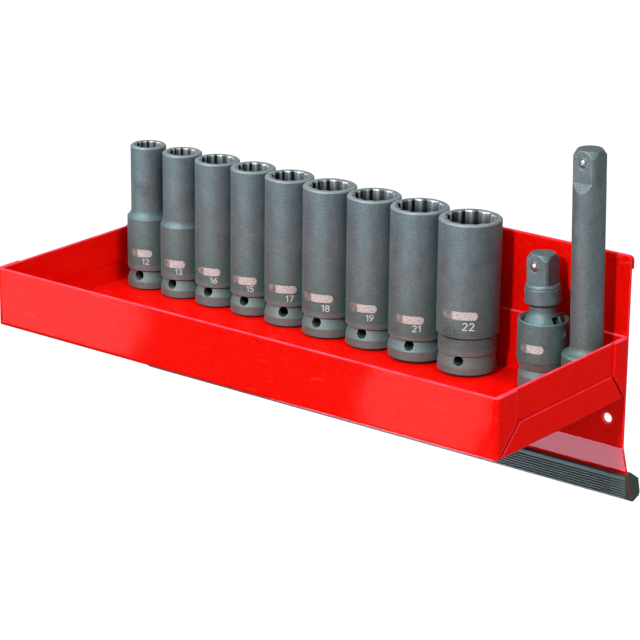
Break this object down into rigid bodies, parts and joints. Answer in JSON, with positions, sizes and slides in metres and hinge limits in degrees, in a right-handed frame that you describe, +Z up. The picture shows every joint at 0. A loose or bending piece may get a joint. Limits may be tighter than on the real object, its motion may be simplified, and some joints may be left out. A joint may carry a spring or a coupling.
{
  "type": "wall shelf tray with impact sockets",
  "caption": "Folded steel shelf tray on a wall plate, with a rubber edge strip, holding upright deep impact sockets, a universal joint and an extension bar.",
  "frame": {"origin": "midway between the two wall screw holes, on the back face of the back plate", "axes": "+X along the tray to the right seen from the front, +Y towards the wall, +Z up"},
  "size_m": [0.318, 0.1326, 0.1866],
  "materials": {
    "paint": "glossy red powder paint on steel sheet",
    "rubber": "dark grey extruded rubber",
    "steel": "phosphated forged steel, satin dark grey",
    "chrome": "polished hardened steel"
  },
  "bodies": {
    "shelf": {"tray": "paint", "back_plate": "paint", "edge_strip": "rubber"},
    "loose_12": {"socket_12": "steel"},
    "loose_13": {"socket_13": "steel"},
    "loose_16": {"socket_16": "steel"},
    "loose_15": {"socket_15": "steel"},
    "loose_17": {"socket_17": "steel"},
    "loose_18": {"socket_18": "steel"},
    "loose_19": {"socket_19": "steel"},
    "loose_21": {"socket_21": "steel"},
    "loose_22": {"socket_22": "steel"},
    "cup": {"joint_cup": "steel"},
    "pin": {"joint_cross_pin": "chrome"},
    "head": {"joint_drive_head": "steel", "joint_detent_spring": "chrome"},
    "joint_ball": {"joint_detent_ball": "chrome"},
    "bar": {"extension_bar": "steel", "bar_detent_spring": "chrome"},
    "bar_ball": {"bar_detent_ball": "chrome"}
  },
  "joints": [
    {"name": "lift_socket_12", "type": "slide", "parent": "shelf", "child": "loose_12", "axis": [0, 0, 1], "range_m": [0, 0.1]},
    {"name": "lift_socket_13", "type": "slide", "parent": "shelf", "child": "loose_13", "axis": [0, 0, 1], "range_m": [0, 0.1]},
    {"name": "lift_socket_16", "type": "slide", "parent": "shelf", "child": "loose_16", "axis": [0, 0, 1], "range_m": [0, 0.1]},
    {"name": "lift_socket_15", "type": "slide", "parent": "shelf", "child": "loose_15", "axis": [0, 0, 1], "range_m": [0, 0.1]},
    {"name": "lift_socket_17", "type": "slide", "parent": "shelf", "child": "loose_17", "axis": [0, 0, 1], "range_m": [0, 0.1]},
    {"name": "lift_socket_18", "type": "slide", "parent": "shelf", "child": "loose_18", "axis": [0, 0, 1], "range_m": [0, 0.1]},
    {"name": "lift_socket_19", "type": "slide", "parent": "shelf", "child": "loose_19", "axis": [0, 0, 1], "range_m": [0, 0.1]},
    {"name": "lift_socket_21", "type": "slide", "parent": "shelf", "child": "loose_21", "axis": [0, 0, 1], "range_m": [0, 0.1]},
    {"name": "lift_socket_22", "type": "slide", "parent": "shelf", "child": "loose_22", "axis": [0, 0, 1], "range_m": [0, 0.1]},
    {"name": "lift_joint", "type": "slide", "parent": "shelf", "child": "cup", "axis": [0, 0, 1], "range_m": [0, 0.1]},
    {"name": "joint_swing", "type": "hinge", "parent": "cup", "child": "pin", "pos_m": [0.11805, -0.0156, 0.0449], "axis": [0.9877, -0.1564, 0], "range_deg": [-8, 24]},
    {"name": "joint_tilt", "type": "hinge", "parent": "pin", "child": "head", "pos_m": [0.11805, -0.0156, 0.0449], "axis": [0.1564, 0.9877, 0], "range_deg": [-20, 16]},
    {"name": "joint_detent", "type": "slide", "parent": "head", "child": "joint_ball", "axis": [0.0002, 1, -0.0082], "range_m": [0, 0.0011], "stiffness_N_per_m": 2000, "deforming": ["joint_detent_spring"]},
    {"name": "lift_bar", "type": "slide", "parent": "shelf", "child": "bar", "axis": [0, 0, 1], "range_m": [0, 0.1]},
    {"name": "bar_detent", "type": "slide", "parent": "bar", "child": "bar_ball", "axis": [-0.0001, 0.9999, 0.016], "range_m": [0, 0.0011], "stiffness_N_per_m": 2000, "deforming": ["bar_detent_spring"]}
  ]
}
